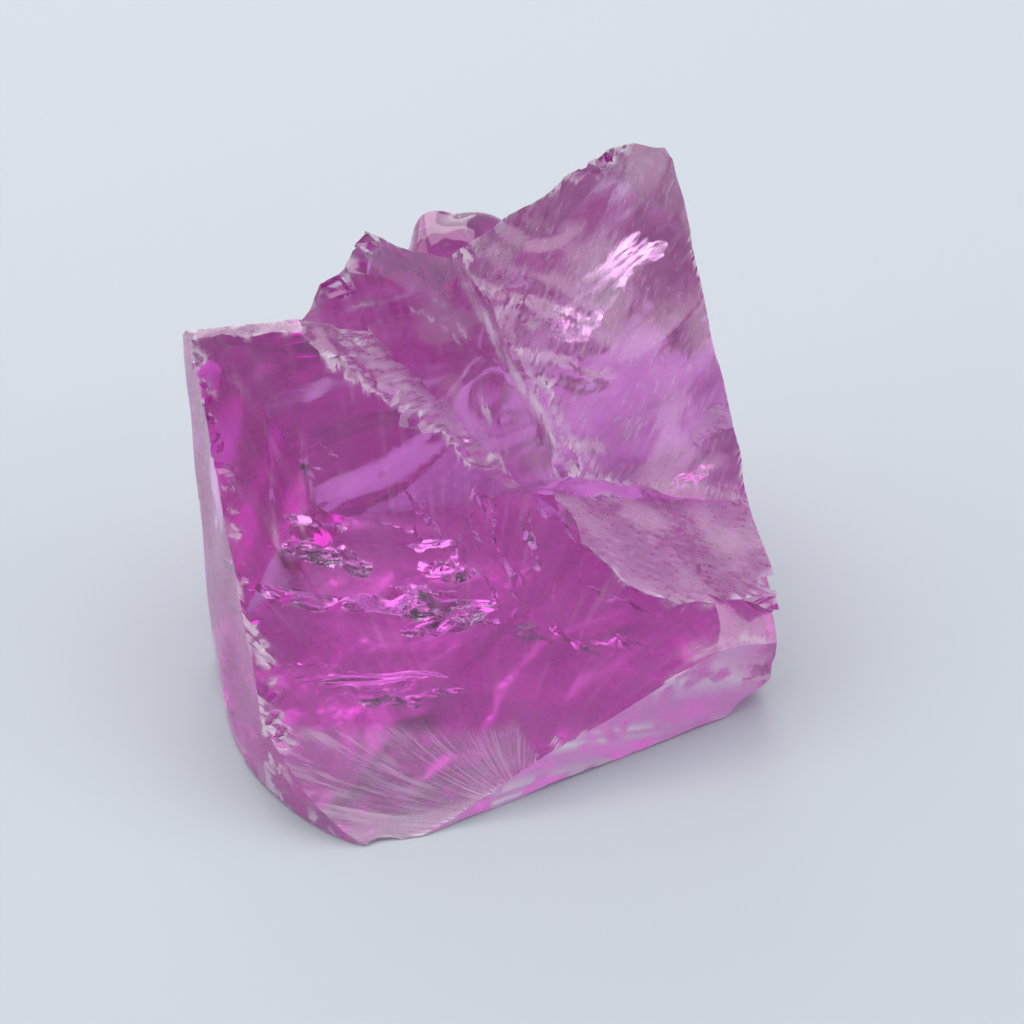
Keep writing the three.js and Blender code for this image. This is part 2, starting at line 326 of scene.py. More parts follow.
class Face:
    """A face of the stone: a point on it, where it looks, its relief and how frosted it is."""

    def __init__(self, name, at, heading, tilt, relief=None, frost=0.0, lines=None, hackle_and_sheen=0.0):
        self.name, self.relief = name, relief or even()
        self.frost = frost if callable(frost) else even(frost)
        self.lines = lines or (lambda u, v: (u, v))
        self.hackle_and_sheen = hackle_and_sheen if callable(hackle_and_sheen) else even(hackle_and_sheen)
        self.at = np.array(at, float)
        self.facing = direction(heading, tilt)
        self.level = direction(heading + 90)
        self.uphill = np.cross(self.facing, self.level)

    def local(self, places):
        """Coordinates along the face's level and uphill directions, and outward from it."""
        offset = places - self.at
        return offset @ self.level, offset @ self.uphill, offset @ self.facing

    def height(self, places):
        """How far places stand out of this face."""
        u, v, w = self.local(places)
        return w - self.relief(u, v)

    def beyond(self):
        """Everything beyond the face: a deep slab whose near side has its relief."""
        middle = np.array([0, 0, RAW_HEIGHT / 2])
        mid_u, mid_v, _ = self.local(middle)
        lines = []
        for mid in (mid_u, mid_v):
            low, high = max(mid - HALF_SPAN, -SLAB_REACH), min(mid + HALF_SPAN, SLAB_REACH)
            fine = np.linspace(low, high, int((high - low) / FINE_CELL) + 1)
            lower = np.arange(-SLAB_REACH, low - 1, COARSE_CELL)
            upper = np.arange(high + 1, SLAB_REACH, COARSE_CELL)
            lines.append(np.concatenate([lower, fine, upper, [SLAB_REACH]]))
        u, v = np.meshgrid(lines[0], lines[1], indexing="ij")
        w = self.relief(u, v)
        rows, columns = u.shape
        number = np.arange(rows * columns).reshape(rows, columns)
        near = np.stack([u, v, w], -1).reshape(-1, 3)
        rim = np.concatenate([number[:, 0], number[-1, 1:], number[-2::-1, -1], number[0, -2:0:-1]])
        far = near[rim].copy()
        far[:, 2] = SLAB_DEPTH
        quads = np.stack([number[:-1, :-1], number[:-1, 1:], number[1:, 1:], number[1:, :-1]], -1)
        faces = quads.reshape(-1, 4).tolist()
        top = np.arange(len(rim)) + len(near)
        for k in range(len(rim)):
            after = (k + 1) % len(rim)
            faces.append([int(rim[k]), int(rim[after]), int(top[after]), int(top[k])])
        faces.append([int(t) for t in top])
        points = np.concatenate([near, far])
        places = self.at + points @ np.stack([self.level, self.uphill, self.facing])
        return body_of(self.name, places, faces)


def combine(body, tools, operation="DIFFERENCE"):
    """The body with each tool joined to it or cut from it. The body given is used up, the tools stay."""
    for tool in tools:
        modifier = body.modifiers.new("join", "BOOLEAN")
        modifier.operation = operation
        modifier.solver = "MANIFOLD"
        modifier.object = tool
    finished = body.evaluated_get(bpy.context.evaluated_depsgraph_get())
    mesh = bpy.data.meshes.new_from_object(finished)
    body.modifiers.clear()
    body.data = mesh
    return body


def copy_of(body):
    twin = body.copy()
    twin.data = body.data.copy()
    bpy.context.scene.collection.objects.link(twin)
    return twin


# ---- Faces ---------------------------------------------------------------------------------------

FAN_POINT = (3.6, -9.9)  # where the ridges at the foot of the front break spread from
fan_zone = under_line([
    (-9.5, -4), (-7.3, -4.5), (-3.8, -4.8), (-0.6, -5.5), (1.8, -5.9), (3.5, -5.6),
    (4.3, -7.7), (5, -12), (9, -12),
], 0.7)
front_form = together(hollow(0.6, 8, (-1, 3)), swell(0.22, 14, 2))
front_facing = direction(FRONT_HEADING, FRONT_TILT)
FRONT_BREAK = Face(
    "front_break", FRONT_AT, FRONT_HEADING, FRONT_TILT,
    together(
        front_form, dished(0.7, 3.6, (-2, -7.7), 1.9, 4),
        only(fan_zone, fan(0.07, FAN_POINT, 60, 3)), only(fan_zone, broken(0.04, 0.9, 4)),
    ),
    together(only(fan_zone, even(0.5)), even(0.16)), spreading(FAN_POINT, 16, 12),
    together(only(fan_zone, even(0.42)), even(0.1), swell(0.12, 5, 4)),
)
BENCH = Face(
    "bench", np.array(FRONT_AT) + BENCH_PROUD * front_facing, FRONT_HEADING, FRONT_TILT,
    together(front_form, swell(0.25, 5, 9), broken(0.06, 1.0, 5, 2, -20)),
    together(even(0.85), broken(0.25, 2.5, 6, 3, -30)), finer(2, streaks(-30, 3)), 0.2,
)
BENCH_STEP = Face(
    "bench_step", (8.9, -0.9, 8.7), -106, -27,
    together(hollow(-2.6, 5, (-0.5, 0)), fall_away(-6, 1.6), swell(0.15, 3, 3), broken(0.12, 0.8, 6)), 0.6,
)
UPPER_BREAK = Face(
    "upper_break", (6, 5, 16.9), -66, 43,
    together(
        swell(0.35, 11, 1), ripples(0.14, 3.6, (-3, 14)), broken(0.05, 1.6, 7, 3, 40),
        only(spot((-4, 1), (2.6, 9), 0.8, 2), terraces(0.16, 0.8, 60, 3)),
    ),
    together(even(0.45), only(spot((-3.5, 1), (2.8, 9), 0.8, 2), even(0.1)), swell(0.15, 5, 8)),
    finer(1.5, streaks(50, 4)),
    0.15,
)
# The ledge's hackle of 0.7 paints white streaks on it beside its frost, a painted silvery sheen
LEDGE = Face(
    "ledge", (-6, 5, 15.2), 0, 59,
    together(swell(0.25, 5, 4), ripples(0.14, 2.3, (9, 14)), facets(0.3, 1.4, 0.42, 5)),
    together(even(0.55), swell(0.25, 2.5, 3)), streaks(-50, 3), 0.7,
)
RISER = Face(
    "riser", (-2, 5, 17.6), -124, 14.5,
    together(hollow(0.8, 4.5, (-1, -1)), swell(0.3, 7, 8), facets(0.2, 4.5, 0.08, 9)), 0.3, streaks(-60, 6),
)
RIDGE_BEVEL = Face(
    "ridge_bevel", (-0.1, 4.1, 18.4), -98, 32,
    together(swell(0.2, 3, 2), terraces(0.12, 0.55, 20, 7), broken(0.07, 0.5, 10, 2.5, -55)), 0.3,
    streaks(-55, 6), 0.3,
)
LOWER_RISER = Face(
    "lower_riser", (8.5, 0.8, 11.6), -90, -21, together(swell(0.25, 4, 7), broken(0.15, 0.8, 11)), 0.5
)
LEFT_SLOPE = Face(
    "left_slope", (-13, 6.3, 19), 101, 37.5,
    together(hollow(1.5, 6, (-3, -9)), ripples(0.22, 3.4, (4, 12)), broken(0.06, 1.2, 12)), 0.2,
)
TOP_BEVEL = Face(
    "top_bevel", (-14, 5.6, 18.6), -70, 78, together(swell(0.12, 4, 2), broken(0.08, 0.6, 13)), 0.6
)
PEAK_LEFT = Face(
    "peak_left", (-8.5, 10.6, 20.2), 139, 28.5,
    together(swell(0.3, 5, 5), ripples(0.22, 2.6, (-6, 5)), broken(0.08, 1, 14)), 0.2,
)
PEAK_RIGHT = Face(
    "peak_right", (-5.6, 8.8, 21.9), 59, 36, together(swell(0.3, 6, 6), broken(0.1, 1, 15)), 0.2
)
CREST_SLOPE = Face(
    "crest_slope", (2.7, 11.4, 24.4), 134.5, 31.5,
    together(hollow(1.2, 5, (2, -8)), ripples(0.16, 2.9, (8, 3)), broken(0.08, 1, 16)), 0.3,
)
CREST_END = Face(
    "crest_end", (7.5, 13.8, 24.9), 103.5, 39.5, together(swell(0.2, 6, 3), broken(0.1, 1, 17)), 0.3
)
CORNER_BEVEL = Face(
    "corner_bevel", (11, -3.6, 6), -47, 43.5, together(swell(0.12, 4, 2), broken(0.06, 1, 18)), 0.4
)
CORNER_TOP = Face(
    "corner_top", (11, -2.7, 7.5), -100, -35, together(swell(0.3, 3, 4), broken(0.1, 1, 19)), 0.6
)
FOOT_CORNER = Face("foot_corner", (13.7, -2.9, 1.4), -22, -50, swell(0.2, 4, 5), 0.3)
LEFT_UNDERCUT = Face("left_undercut", (-16.3, 0.4, 0), 156, -11.5, swell(0.3, 8, 2), 0.4)
BACK_BREAK = Face(
    "back_break", (-13, 12.5, 8), 128, 12,
    together(hollow(1.2, 8, (1, 2)), ripples(0.3, 3.3, (-9, -6)), broken(0.06, 1.2, 20)), 0.7,
)
BACK_FOOT_BREAK = Face(
    "back_foot_break", (3, 15.4, 4.5), 98, -20,
    together(hollow(0.9, 7, (-1, -1)), ripples(0.14, 2.7, (-9, -12)), broken(0.06, 1.2, 21)), 1.0,
)
BACK_EDGE_BREAK = Face(
    "back_edge_break", (8.6, 15.4, 12), 58, 6,
    together(ripples(0.3, 3.1, (3, -14)), swell(0.2, 7, 3), broken(0.06, 1.2, 22)), 0.8,
)
LEFT_GROWTH = Face(
    "left_growth", LEFT_SIDE * direction(PRISM_TURN + 180, LEFT_LEAN), PRISM_TURN + 180, LEFT_LEAN,
    together(hollow(-0.9, 7, (0, -3)), swell(0.08, 9, 1), broken(0.03, 2, 25, 3, 80)),
    together(even(0.08), lambda u, v: 0.004 * v), streaks(3, 5),
)
RIGHT_GROWTH = Face(
    "right_growth", RIGHT_SIDE * direction(PRISM_TURN), PRISM_TURN, 0,
    together(steps(0.12, 4, 78), swell(0.05, 9, 4), terraces(0.1, 2.2, 70, 10), broken(0.03, 1, 23, 4, -12)),
    0.2, streaks(-12, 5),
)
BACK_GROWTH = Face(
    "back_growth", BACK_SIDE * direction(PRISM_TURN + 90, BACK_LEAN), PRISM_TURN + 90, BACK_LEAN,
    together(steps(0.3, 3.4, 84), swell(0.2, 12, 6), terraces(0.25, 1.9, 60, 9), broken(0.05, 1, 24, 4, -6)),
    0.6, streaks(-6, 5),
)
BASE = Face(
    "base", (0, 0, 0), -90, -90,
    lambda u, v: -0.35 * np.clip(
        0.3 + terraces(0.25, 1.9, 35, 8)(u, v) + swell(0.6, 9, 4)(u, v) + broken(0.25, 1.4, 26)(u, v), 0, 1.4
    ), 1.0,
)
FACES = [
    FRONT_BREAK, BENCH, BENCH_STEP, UPPER_BREAK, LEDGE, RISER, RIDGE_BEVEL, LOWER_RISER, LEFT_SLOPE,
    TOP_BEVEL, PEAK_LEFT, PEAK_RIGHT, CREST_SLOPE, CREST_END, CORNER_BEVEL, CORNER_TOP, FOOT_CORNER,
    LEFT_UNDERCUT, BACK_BREAK, BACK_FOOT_BREAK, BACK_EDGE_BREAK, LEFT_GROWTH, RIGHT_GROWTH, BACK_GROWTH, BASE,
]


# ---- The stone -----------------------------------------------------------------------------------


def corner(heading_a, distance_a, heading_b, distance_b):
    """Where two upright sides meet, each given by its heading and distance."""
    a, b = direction(heading_a), direction(heading_b)
    det = a[0] * b[1] - a[1] * b[0]
    return (
        (distance_a * b[1] - distance_b * a[1]) / det,
        (distance_b * a[0] - distance_a * b[0]) / det,
    )


def curve_through(points, pieces=3):
    """Points on the smooth curve through the given ones, as many pieces to each span."""
    p = [np.array(q, float) for q in points]
    p = [p[0], *p, p[-1]]
    made = []
    for k in range(1, len(p) - 2):
        for j in range(pieces):
            t = j / pieces
            a, b, c, d = p[k - 1], p[k], p[k + 1], p[k + 2]
            slope_b, slope_c = (c - a) / 2, (d - b) / 2
            made.append(
                b + slope_b * t + (3 * (c - b) - 2 * slope_b - slope_c) * t * t
                + (2 * (b - c) + slope_b + slope_c) * t * t * t
            )
    made.append(p[-1])
    return made


def raw_prism():
    """The prism before breaking: four upright sides, the front left corner worn into a long curve."""
    right, right_at = PRISM_TURN, RIGHT_SIDE + RAW_MARGIN
    back, back_at = PRISM_TURN + 90, BACK_SIDE + RAW_MARGIN
    left, left_at = PRISM_TURN + 180, LEFT_SIDE + RAW_MARGIN_LEFT
    outline = [
        corner(NOSE_TURN, NOSE_SIDE, right, right_at),
        corner(right, right_at, back, back_at),
        corner(back, back_at, left, left_at),
        (-16.7, 1.5),
        *curve_through(NOSE_CURVE, 8),
    ]
    count = len(outline)
    places = [(x, y, 0) for x, y in outline] + [(x, y, RAW_HEIGHT) for x, y in outline]
    faces = [list(range(count))[::-1], list(range(count, 2 * count))]
    for k in range(count):
        after = (k + 1) % count
        faces.append([k, after, count + after, count + k])
    return body_of("prism", places, faces)


def ball(name, centre, size, lean=0.0, detail=5, uneven=None):
    """An uneven rounded lump."""
    made = bmesh.new()
    bmesh.ops.create_icosphere(made, subdivisions=detail, radius=1)
    places = np.array([v.co[:] for v in made.verts])
    faces = [[v.index for v in f.verts] for f in made.faces]
    made.free()
    if uneven:
        x, y, z = places.T
        places = places * (1 + uneven(x + 0.6 * z, y - 0.4 * z))[:, None]
    places = places * size
    a = math.radians(lean)
    x, z = places[:, 0].copy(), places[:, 2].copy()
    places[:, 0] = x * math.cos(a) + z * math.sin(a)
    places[:, 2] = z * math.cos(a) - x * math.sin(a)
    return body_of(name, places + centre, faces)


def shell_chip(at, heading, tilt, radius, depth, stretch, sides=64, rings=14):
    """A shell-shaped bite: a shallow rippled dish, its open side raised clear of the surface."""
    r = np.concatenate([np.arange(1, rings + 1) / rings, [DISH_FLARE]])
    height = dished(depth, 1, (0, 0), 1, 0)(r, 0)
    height[-1] = DISH_CLEAR * depth
    turn = np.arange(sides) * 2 * math.pi / sides
    across, around = np.meshgrid(r * radius, turn, indexing="ij")
    along, rise = stretch * across * np.cos(around), height[:, None] + 0 * around
    rows = np.stack([along, across * np.sin(around), rise], -1)
    points = np.concatenate([[[0, 0, -depth]], rows.reshape(-1, 3), [[0, 0, DISH_CLEAR * depth]]])
    faces = []
    for k in range(sides):
        after = (k + 1) % sides
        faces.append([0, 1 + after, 1 + k])
        for ring in range(len(r) - 1):
            low, high = 1 + ring * sides, 1 + (ring + 1) * sides
            faces.append([low + k, low + after, high + after, high + k])
        faces.append([len(points) - 1, high + k, high + after])
    level, facing = direction(heading + 90), direction(heading, tilt)
    turned = points @ np.stack([level, np.cross(facing, level), facing])
    return body_of("shell_chip", np.array(at) + turned, faces)


def edge_chips(start, end, count, heading, tilt, radius, depth, seed):
    """A run of small bites out of an edge, each a little different."""
    bites = []
    for k in range(count):
        share = (k + 0.5 + 0.4 * scatter(seed + k)) / count
        size = radius * (1 + 0.45 * scatter(seed + 3.3 * k + 1))
        out = direction(
            heading + BITE_SCATTER * scatter(seed + 5.1 * k), tilt + BITE_SCATTER * scatter(seed + 7.7 * k)
        )
        sink = 0.8 * size - depth * (1 + 0.4 * scatter(seed + 6.6 * k))
        centre = np.array(start) + share * (np.array(end) - start) + sink * out
        stretch = (1.5 + 0.5 * scatter(seed + 2.2 * k), 1, 0.8)
        bites.append(ball("bite", centre, size * np.array(stretch), BITE_TURN * scatter(seed + 9.4 * k), 1))
    return bites


def chips():
    """Shell-shaped chips, and bites along the same edges as in the solid, most of them finer and closer."""
    return [
        shell_chip((11.6, 5.5, 0.4), PRISM_TURN, -48, 3.6, 0.8, 1.4),
        shell_chip((-13, 7.5, 0.5), 150, -50, 3.8, 0.9, 1.3),
        *edge_chips((-16.6, 5, 18.4), (-11.4, -10.8, 3.6), 24, -125, 30, 0.42, 0.13, 1),
        *edge_chips((-9.4, 5, 17.2), (-1.8, 1.9, 13), 9, -50, 72, 0.6, 0.2, 2),
        *edge_chips((-9.8, 10.2, 17.4), (-7.2, 9.9, 21.6), 4, -170, 35, 0.8, 0.3, 3),
        *edge_chips((3.4, 11.4, 24.2), (6.2, 13.4, 25), 5, 180, 70, 0.35, 0.1, 4),
        *edge_chips((1, -9.8, 2.4), (9.3, -5.4, 5.6), 10, -68, 24, 0.45, 0.12, 5),
        *edge_chips((13.6, -0.9, 8), (13.9, -1.9, 7), 1, -10, 25, 1, 0.4, 6),
    ]


def stone():
    prism = raw_prism()
    riser = RISER.beyond()
    groove = combine(LEDGE.beyond(), [riser], "INTERSECT")
    front = combine(copy_of(prism), [FRONT_BREAK.beyond()])
    bench = combine(copy_of(prism), [BENCH.beyond(), BENCH_STEP.beyond()])
    front = combine(front, [bench], "UNION")
    front = combine(front, [groove, LEFT_SLOPE.beyond(), TOP_BEVEL.beyond()])
    crest = combine(copy_of(prism), [CREST_SLOPE.beyond(), CREST_END.beyond()])
    peak = combine(copy_of(prism), [PEAK_LEFT.beyond(), PEAK_RIGHT.beyond()])
    back = combine(crest, [peak], "UNION")
    back = combine(back, [UPPER_BREAK.beyond(), riser, RIDGE_BEVEL.beyond(), LOWER_RISER.beyond()])
    lump = ball("lump", LUMP_CENTRE, LUMP_SIZE, LUMP_LEAN, 6, swell(0.16, 1.6, 3))
    body = combine(front, [back, lump], "UNION")
    bevel = combine(CORNER_BEVEL.beyond(), [CORNER_TOP.beyond()], "INTERSECT")
    sides = [
        LEFT_GROWTH, RIGHT_GROWTH, BACK_GROWTH, FOOT_CORNER, LEFT_UNDERCUT,
        BACK_BREAK, BACK_FOOT_BREAK, BACK_EDGE_BREAK, BASE,
    ]
    return combine(body, [bevel, *(side.beyond() for side in sides), *chips()])


# ---- Flaws inside --------------------------------------------------------------------------------


def veil(centre, heading, tilt, size, relief, thickness=0.05, seed=1, rings=12, sectors=44):
    """A healed crack: a thin ragged lens of air inside the stone, as places and faces that face the air."""
    facing, across = direction(heading, tilt), direction(heading + 90)
    uphill = np.cross(facing, across)
    share = np.arange(1, rings + 1) / rings
    turn = np.arange(sectors) * 2 * math.pi / sectors
    t, a = np.meshgrid(share, turn, indexing="ij")
    ragged = 1 + 0.3 * grain(2.2 * np.cos(a), 2.2 * np.sin(a), 1.0, seed)
    ragged = ragged + 0.1 * grain(a * 3, 0 * a, 0.4, seed)
    u, v = size[0] * t * ragged * np.cos(a), size[1] * t * ragged * np.sin(a)
    half = thickness / 2 * np.sqrt(np.clip(1 - t * t, 0, 1))
    middle = relief(u, v)
    sheets = []
    for side in (1, -1):
        sheet = np.stack([u, v, middle + side * half], -1)[: rings - 1].reshape(-1, 3)
        tip = [[0, 0, float(relief(np.float64(0), np.float64(0))) + side * thickness / 2]]
        sheets.append(np.concatenate([tip, sheet]))
    rim = np.stack([u, v, middle], -1)[-1]
    points = np.concatenate([*sheets, rim])
    count = 1 + (rings - 1) * sectors
    faces = []
    for side in (0, 1):
        start = side * count

        def at(ring, k):
            k %= sectors
            if ring == rings - 1:
                return 2 * count + k
            return start + 1 + ring * sectors + k

        made = [[start, at(0, k), at(0, k + 1)] for k in range(sectors)]
        for ring in range(rings - 1):
            made += [
                [at(ring, k), at(ring + 1, k), at(ring + 1, k + 1), at(ring, k + 1)] for k in range(sectors)
            ]
        faces += [f[::-1] for f in made] if side == 0 else made
    return centre + points @ np.stack([across, uphill, facing]), faces


def specks(count, centre, size, seed):
    """Tiny flat-sided hollows scattered inside the stone."""
    made = []
    corners = np.array([(1, 0, 0), (-1, 0, 0), (0, 1, 0), (0, -1, 0), (0, 0, 1), (0, 0, -1)], float)
    sides = [(0, 2, 4), (2, 1, 4), (1, 3, 4), (3, 0, 4), (2, 0, 5), (1, 2, 5), (3, 1, 5), (0, 3, 5)]
    for k in range(count):
        at = np.array(centre) + np.array(size) * [scatter(seed + 3.1 * k + j) for j in range(3)]
        radius = 0.035 * (1 + 0.6 * scatter(seed + 7.7 * k))
        places = []
        turn = scatter(seed + 5.3 * k) * math.pi
        c, d = math.cos(turn), math.sin(turn)
        for x, y, z in corners * radius:
            x, y, z = x * c - y * d, x * d + y * c, z * 0.6
            places.append(at + (x, y * c - z * d, y * d + z * c))
        made.append((np.array(places), [[a, b, c] for a, c, b in sides]))
    return made


def swarm(count, centre, spread, heading, tilt, wobble, size, seed):
    """Many small cracks that lean about the same way."""
    made = []
    for k in range(count):
        at = np.array(centre) + np.array(spread) * [scatter(seed + 2.9 * k + j) for j in range(3)]
        turn, lean = wobble * scatter(seed + 4.7 * k), wobble * scatter(seed + 6.1 * k)
        grow = 1 + 0.5 * scatter(seed + 8.3 * k)
        form = together(swell(0.25 * grow, 2.5, seed + k), ripples(0.1, 0.7, (3, 4)))
        made.append(veil(
            at, heading + turn, tilt + lean, (size[0] * grow, size[1] * grow), form, 0.04, seed + k, 8, 28,
        ))
    return made


# The larger cracks: long and upright ones under the front break, two silvery ones under the upper break,
# and one each by the ledge and the low riser. The swarms are short ones.
VEILS = [
    veil(
        (-7.6, -2.8, 6.7), 84, 66, (5.6, 1.9),
        together(swell(0.5, 5, 3), ripples(0.12, 0.9, (2, 7))), seed=3,
    ),
    veil(
        (-3.4, -2.8, 5.3), 100, 62, (2.6, 1.4),
        together(swell(0.4, 3, 5), ripples(0.12, 0.7, (-3, 5))), seed=4,
    ),
    veil(
        (-7.3, -6.0, 4.5), 92, 60, (4.2, 0.9),
        together(swell(0.3, 6, 6), ripples(0.07, 0.8, (0, 6))), seed=12,
    ),
    veil((-13.1, 2.6, 11.6), 2, 0, (0.9, 3.5), swell(0.12, 5, 2), 0.03, seed=5),
    veil((-11.1, 3.0, 11.4), -3, 2, (1.0, 3.4), swell(0.12, 5, 4), 0.03, seed=6),
    veil((-4.5, 1.3, 9.1), 25, 25, (0.7, 2.6), together(swell(0.3, 3, 6), broken(0.12, 0.9, 33)), seed=7),
    veil((-2.9, 0.6, 8.3), 150, 20, (0.8, 2.9), together(swell(0.3, 3, 7), broken(0.12, 0.9, 34)), seed=8),
    veil((-1.4, 1.6, 8.8), 20, 15, (0.7, 2.2), together(swell(0.3, 3, 8), broken(0.1, 0.9, 35)), seed=9),
    veil((-9.8, -0.9, 8.2), 70, 70, (2.0, 1.2), together(swell(0.4, 3, 2), broken(0.15, 0.8, 38)), seed=13),
    veil((3.4, -3.1, 3.8), 175, 10, (1.2, 1.8), swell(0.15, 4, 8), 0.03, seed=14),
    veil((5.6, -1.6, 6.1), 60, 50, (1.6, 1.0), together(swell(0.3, 3, 1), broken(0.1, 0.8, 39)), seed=15),
    veil(
        (5.1, 10.2, 18.5), -147, 63, (1.6, 3.7),
        together(hollow(-0.5, 2.6, (0, 0)), broken(0.14, 0.45, 36, 4, 90)), 0.05, 10, 32, 110,
    ),
    veil(
        (3.3, 7.4, 17.7), -110, 80, (1.1, 1.5),
        together(swell(0.4, 3, 10), broken(0.2, 0.5, 37, 3, 90)), 0.05, 11, 16, 60,
    ),
    veil((-2.9, 4.5, 12.4), 30, 64, (1.1, 0.4), together(swell(0.2, 2, 4), broken(0.1, 0.4, 42)), seed=17),
    veil(
        (9.3, 2.2, 11.3), -160, 66, (0.6, 1.6),
        together(swell(0.3, 3, 4), broken(0.25, 0.6, 40)), seed=16,
    ),
    *swarm(12, (-8, -1, 8.5), (4.5, 1.5, 2.5), 88, 60, 18, (1.3, 0.8), 50),
    *swarm(14, (-2.0, 0.6, 9), (3.4, 1, 2.2), 8, 5, 22, (0.5, 1.5), 60),
    *swarm(6, (-7, -6, 4.2), (4, 1, 0.8), 92, 56, 8, (2.2, 0.5), 70),
    *swarm(6, (3.5, -2.5, 5), (3, 1.5, 1.5), 70, 45, 25, (1.2, 0.6), 80),
    *swarm(10, (1.5, -1.5, 7), (3, 1.5, 2.5), 10, 10, 25, (0.35, 1.2), 100),
    *swarm(5, (-11, 2.5, 13.5), (2, 0.8, 2), 30, 25, 25, (0.9, 0.6), 90),
]
CRACK_GRAIN = np.array((0.75, 0.49, 0.45))  # the way the upper cracks' frost and painted sheen streaks run
SPECKS = specks(70, (-5, -2, 7.5), (7, 4, 4), 1.0)


# ---- Material ------------------------------------------------------------------------------------


ZIRCON_IOR = 1.95
PASSED = (0.972, 0.0, 0.89, 1)  # the colours that the stone lets through, and how strongly it absorbs
ABSORBING = 90


def crystal_material():
    """Clear pink glass, hazed, ribbed and nicked by painted values where it is frosted or worn, and streaked
    white by painted hackle values, which on the ledge and the upper cracks are a painted silvery sheen.
    """
    material = bpy.data.materials.new("zircon")
    material.use_nodes = True
    nodes, links = material.node_tree.nodes, material.node_tree.links
    shader = nodes["Principled BSDF"]
    shader.inputs["IOR"].default_value = ZIRCON_IOR

    def link(value, socket):
        if hasattr(value, "links"):
            links.new(value, socket)
        else:
            socket.default_value = value

    def math_node(operation, a, b, clamp=False):
        node = nodes.new("ShaderNodeMath")
        node.operation, node.use_clamp = operation, clamp
        link(a, node.inputs[0])
        link(b, node.inputs[1])
        return node.outputs[0]

    def noise(where, **values):
        node = nodes.new("ShaderNodeTexNoise")
        for name, value in values.items():
            node.inputs[name].default_value = value
        links.new(where, node.inputs["Vector"])
        return node.outputs["Fac"]

    def painted(name, output="Fac"):
        node = nodes.new("ShaderNodeAttribute")
        node.attribute_name = name
        return node.outputs[output]

    def ramp(value, low, high):
        """0 under low, 1 over high, straight between."""
        node = nodes.new("ShaderNodeMapRange")
        node.inputs["From Min"].default_value, node.inputs["From Max"].default_value = low, high
        links.new(value, node.inputs["Value"])
        return node.outputs["Result"]

    def mixed(share, a, b):
        node = nodes.new("ShaderNodeMix")
        node.data_type = "RGBA"
        link(share, node.inputs["Factor"])
        for value, socket in ((a, node.inputs["A"]), (b, node.inputs["B"])):
            link(value if hasattr(value, "links") else (*value, 1), socket)
        return node.outputs["Result"]

    frost, nick, hackle_and_sheen, rib = painted("frost"), painted("nick"), painted("hackle_and_sheen"), painted("rib")
    lines = noise(painted("strike", "Vector"), Scale=2.6, Detail=3, Roughness=0.6)
    haze = math_node("MULTIPLY", frost, ramp(lines, 0.1, 0.85), True)
    # White streaks from the painted hackle values: real hackle lines on the breaks, and painted sheen on the
    # ledge and the upper cracks
    ridges = math_node("MULTIPLY", ramp(lines, 0.55, 0.66), math_node("MULTIPLY", hackle_and_sheen, 0.6))
    nicks = math_node("MULTIPLY", nick, ramp(lines, 0.46, 0.54))
    grainy = math_node("MULTIPLY", rib, ramp(lines, 0.3, 0.6))
    white = math_node("MAXIMUM", math_node("MAXIMUM", nicks, grainy), ridges, True)
    rough = math_node("ADD", math_node("MULTIPLY", haze, 0.7), math_node("MULTIPLY", white, 0.5))
    links.new(math_node("ADD", rough, 0.015, True), shader.inputs["Roughness"])
    dulled = math_node("ADD", math_node("MULTIPLY", haze, 0.4), math_node("MULTIPLY", white, 0.6), True)
    links.new(math_node("SUBTRACT", 1.0, dulled, True), shader.inputs["Transmission Weight"])
    colour = mixed(haze, (0.98, 0.94, 0.98), (0.87, 0.54, 0.93))
    links.new(mixed(white, colour, (0.95, 0.84, 0.96)), shader.inputs["Base Color"])
    bump = nodes.new("ShaderNodeBump")
    bump.inputs["Distance"].default_value = 0.0001
    links.new(math_node("MULTIPLY", math_node("MAXIMUM", haze, rib), 0.45, True), bump.inputs["Strength"])
    links.new(lines, bump.inputs["Height"])
    links.new(bump.outputs["Normal"], shader.inputs["Normal"])
    absorb = nodes.new("ShaderNodeVolumeAbsorption")
    absorb.inputs["Color"].default_value = PASSED
    absorb.inputs["Density"].default_value = ABSORBING
    links.new(absorb.outputs["Volume"], nodes["Material Output"].inputs["Volume"])
    return material


# ---- Build ---------------------------------------------------------------------------------------

ON_NO_FACE, IN_CRACK = -1, -2
LOW_WALL_FROST, LUMP_FROST, CHIP_FROST = 1.3, 0.15, 0.12  # of places on no face
# the upper cracks get a little frost and white streaks, a painted sheen that stands in for their silvery
# highlight
CRACK_FROST, SILVERY_FROST, UPPER_CRACK_PAINTED_SHEEN = 0.03, 0.3, 0.5
LOW_WALL_RIGHT_OF, LOW_WALL_BEFORE = -5, -3
LUMP_ABOVE, SILVERY_ABOVE = 12, 16
OFF_A_FACE = 0.1  # a polygon further than this from every face is on none
BROAD = 0.25  # makes the fine pattern four times as large where no face draws it out
WORN_ANGLE = 26  # edges sharper than this are worn and nicked

